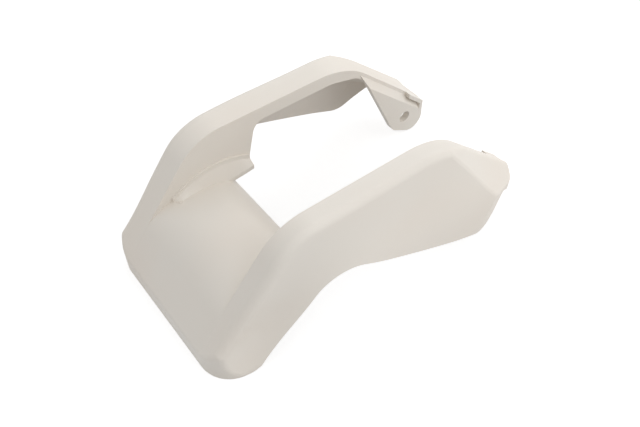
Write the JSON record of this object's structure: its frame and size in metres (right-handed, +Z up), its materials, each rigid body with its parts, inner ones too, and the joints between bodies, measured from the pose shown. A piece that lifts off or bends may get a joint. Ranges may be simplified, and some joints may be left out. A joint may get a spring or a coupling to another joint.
{
  "type": "injection moulded plastic housing",
  "caption": "Moulded yoke housing: a sloping hood with a crowned deck, two hollow flared arms and a pivot ear inside each arm end.",
  "frame": {"origin": "centre of the bounding box in plan, at floor level", "axes": "+X from the closed hood end to the open arm ends, +Y across the arms, +Z up as it stands on its foot rim and ears"},
  "size_m": [0.2118, 0.131, 0.0769],
  "materials": {
    "body": "satin"
  },
  "bodies": {
    "root": {"housing": "body"}
  },
  "joints": []
}
